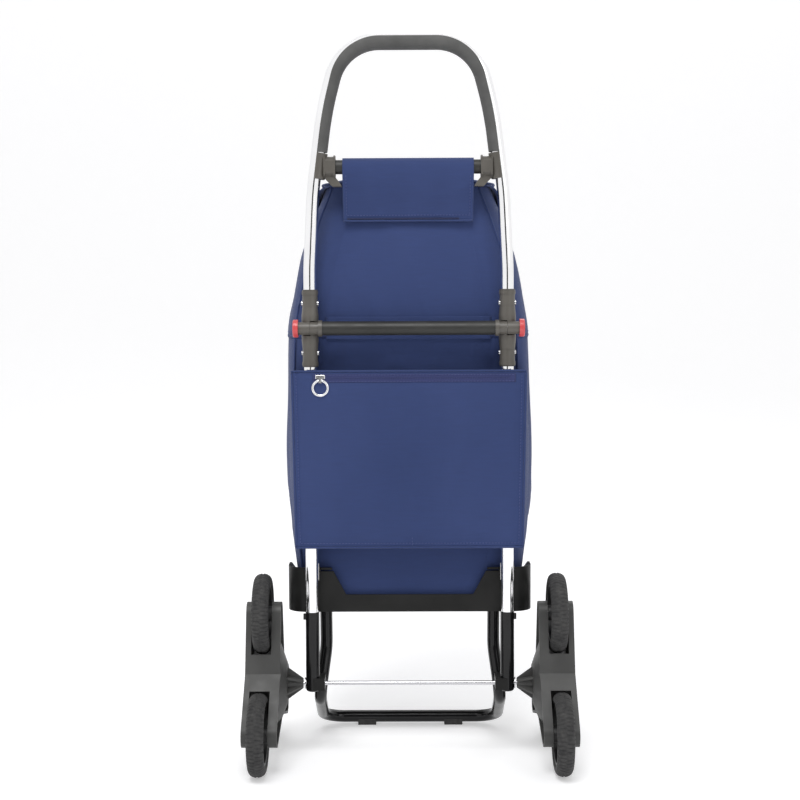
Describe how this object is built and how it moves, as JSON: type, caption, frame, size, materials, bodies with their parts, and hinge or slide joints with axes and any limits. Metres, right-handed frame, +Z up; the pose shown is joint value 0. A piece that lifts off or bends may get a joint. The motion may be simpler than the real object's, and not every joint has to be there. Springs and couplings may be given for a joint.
{
  "type": "folding shopping trolley",
  "caption": "Upright folding shopping trolley: a cloth bag on a tube frame with a looped handle, folding joints, a foot bar and stair-climbing wheel spiders.",
  "frame": {"origin": "on the floor, at the middle of the footprint", "axes": "+Z up, +Y away from the user towards the bag, +X to the user's right"},
  "size_m": [0.465, 0.3804, 1.027],
  "materials": {
    "bright_tube": "polished",
    "black_tube": "gloss black enamel",
    "grip_foam": "soft grained grip",
    "joint_plastic": "fine moulded grain",
    "red_plastic": "satin",
    "steel": "zinc plated",
    "chrome": "polished",
    "black_plastic": "fine moulded grain",
    "spider_plastic": "fine moulded grain",
    "rim_plastic": "satin moulded",
    "tyre": "matt tread",
    "rubber_pad": "matt",
    "bag_cloth": "plain weave polyester",
    "zip_black": "woven tape",
    "board": "plain sheet"
  },
  "bodies": {
    "frame": {"lower_joint_right": "joint_plastic", "lower_joint_left": "joint_plastic", "joint_pins": "steel", "lower_rivets": "steel", "joint_crossbar": "black_tube", "crossbar_collars": "joint_plastic", "lower_tube_right": "bright_tube", "lower_tube_left": "bright_tube", "leg_sleeve_right": "black_tube", "leg_sleeve_left": "black_tube", "axle": "steel", "axle_washers": "steel", "axle_caps": "black_plastic", "stand_tube": "black_tube", "foot_pads": "rubber_pad", "stand_brackets": "black_plastic", "tray_brackets": "steel", "bag_lower": "bag_cloth", "back_pocket": "bag_cloth", "zip_tape": "zip_black"},
    "handle": {"handle_tube": "bright_tube", "handle_grip": "grip_foam", "bar_clip_right": "joint_plastic", "bar_clip_left": "joint_plastic", "bag_bar": "black_tube", "upper_joint_right": "joint_plastic", "upper_joint_left": "joint_plastic", "upper_rivets": "steel", "button_spring_right": "steel", "button_spring_left": "steel", "bag_upper": "bag_cloth", "bag_flap": "bag_cloth"},
    "lid": {"bag_lid": "bag_cloth"},
    "button_left": {"release_button_left": "red_plastic"},
    "button_right": {"release_button_right": "red_plastic"},
    "tray": {"tray": "black_plastic", "tray_pins": "steel", "bag_base_board": "board"},
    "zip_pull": {"zip_slider": "chrome"},
    "zip_ring": {"pull_ring": "chrome"},
    "spider_left": {"spider_left": "spider_plastic", "wheel_pins_left": "steel"},
    "wheel_1_left": {"rim_1_left": "rim_plastic", "tyre_1_left": "tyre"},
    "wheel_2_left": {"rim_2_left": "rim_plastic", "tyre_2_left": "tyre"},
    "wheel_3_left": {"rim_3_left": "rim_plastic", "tyre_3_left": "tyre"},
    "spider_right": {"spider_right": "spider_plastic", "wheel_pins_right": "steel"},
    "wheel_1_right": {"rim_1_right": "rim_plastic", "tyre_1_right": "tyre"},
    "wheel_2_right": {"rim_2_right": "rim_plastic", "tyre_2_right": "tyre"},
    "wheel_3_right": {"rim_3_right": "rim_plastic", "tyre_3_right": "tyre"}
  },
  "joints": [
    {"name": "handle_fold", "type": "hinge", "parent": "frame", "child": "handle", "pos_m": [0, -0.05827, 0.616], "axis": [1, 0, 0], "range_deg": [0, 155], "deforming": ["bag_upper"]},
    {"name": "tray_fold", "type": "hinge", "parent": "frame", "child": "tray", "pos_m": [0, -0.03117, 0.268], "axis": [1, 0, 0], "range_deg": [0, 90], "deforming": ["bag_lower"]},
    {"name": "lid_open", "type": "hinge", "parent": "handle", "child": "lid", "pos_m": [0, -0.02577, 0.8255], "axis": [1, 0, 0], "range_deg": [0, 80]},
    {"name": "zip_slide", "type": "slide", "parent": "frame", "child": "zip_pull", "axis": [1, 0, 0], "range_m": [0, 0.26]},
    {"name": "ring_swing", "type": "hinge", "parent": "zip_pull", "child": "zip_ring", "pos_m": [-0.1246, -0.06537, 0.543], "axis": [-1, 0, 0], "range_deg": [0, 110]},
    {"name": "button_press_left", "type": "slide", "parent": "handle", "child": "button_left", "axis": [1, 0, 0], "range_m": [0, 0.0038], "stiffness_N_per_m": 800, "springref_m": -0.002, "deforming": ["button_spring_left"]},
    {"name": "spider_turn_left", "type": "hinge", "parent": "frame", "child": "spider_left", "pos_m": [0, -0.04577, 0.1075], "axis": [1, 0, 0], "continuous": true},
    {"name": "wheel_turn_1_left", "type": "hinge", "parent": "spider_left", "child": "wheel_1_left", "pos_m": [0, -0.04577, 0.2085], "axis": [1, 0, 0], "continuous": true},
    {"name": "wheel_turn_2_left", "type": "hinge", "parent": "spider_left", "child": "wheel_2_left", "pos_m": [0, -0.13323, 0.057], "axis": [1, 0, 0], "continuous": true},
    {"name": "wheel_turn_3_left", "type": "hinge", "parent": "spider_left", "child": "wheel_3_left", "pos_m": [0, 0.0417, 0.057], "axis": [1, 0, 0], "continuous": true},
    {"name": "button_press_right", "type": "slide", "parent": "handle", "child": "button_right", "axis": [-1, 0, 0], "range_m": [0, 0.0038], "stiffness_N_per_m": 800, "springref_m": -0.002, "deforming": ["button_spring_right"]},
    {"name": "spider_turn_right", "type": "hinge", "parent": "frame", "child": "spider_right", "pos_m": [0, -0.04577, 0.1075], "axis": [1, 0, 0], "continuous": true},
    {"name": "wheel_turn_1_right", "type": "hinge", "parent": "spider_right", "child": "wheel_1_right", "pos_m": [0, -0.04577, 0.2085], "axis": [1, 0, 0], "continuous": true},
    {"name": "wheel_turn_2_right", "type": "hinge", "parent": "spider_right", "child": "wheel_2_right", "pos_m": [0, -0.13323, 0.057], "axis": [1, 0, 0], "continuous": true},
    {"name": "wheel_turn_3_right", "type": "hinge", "parent": "spider_right", "child": "wheel_3_right", "pos_m": [0, 0.0417, 0.057], "axis": [1, 0, 0], "continuous": true}
  ]
}
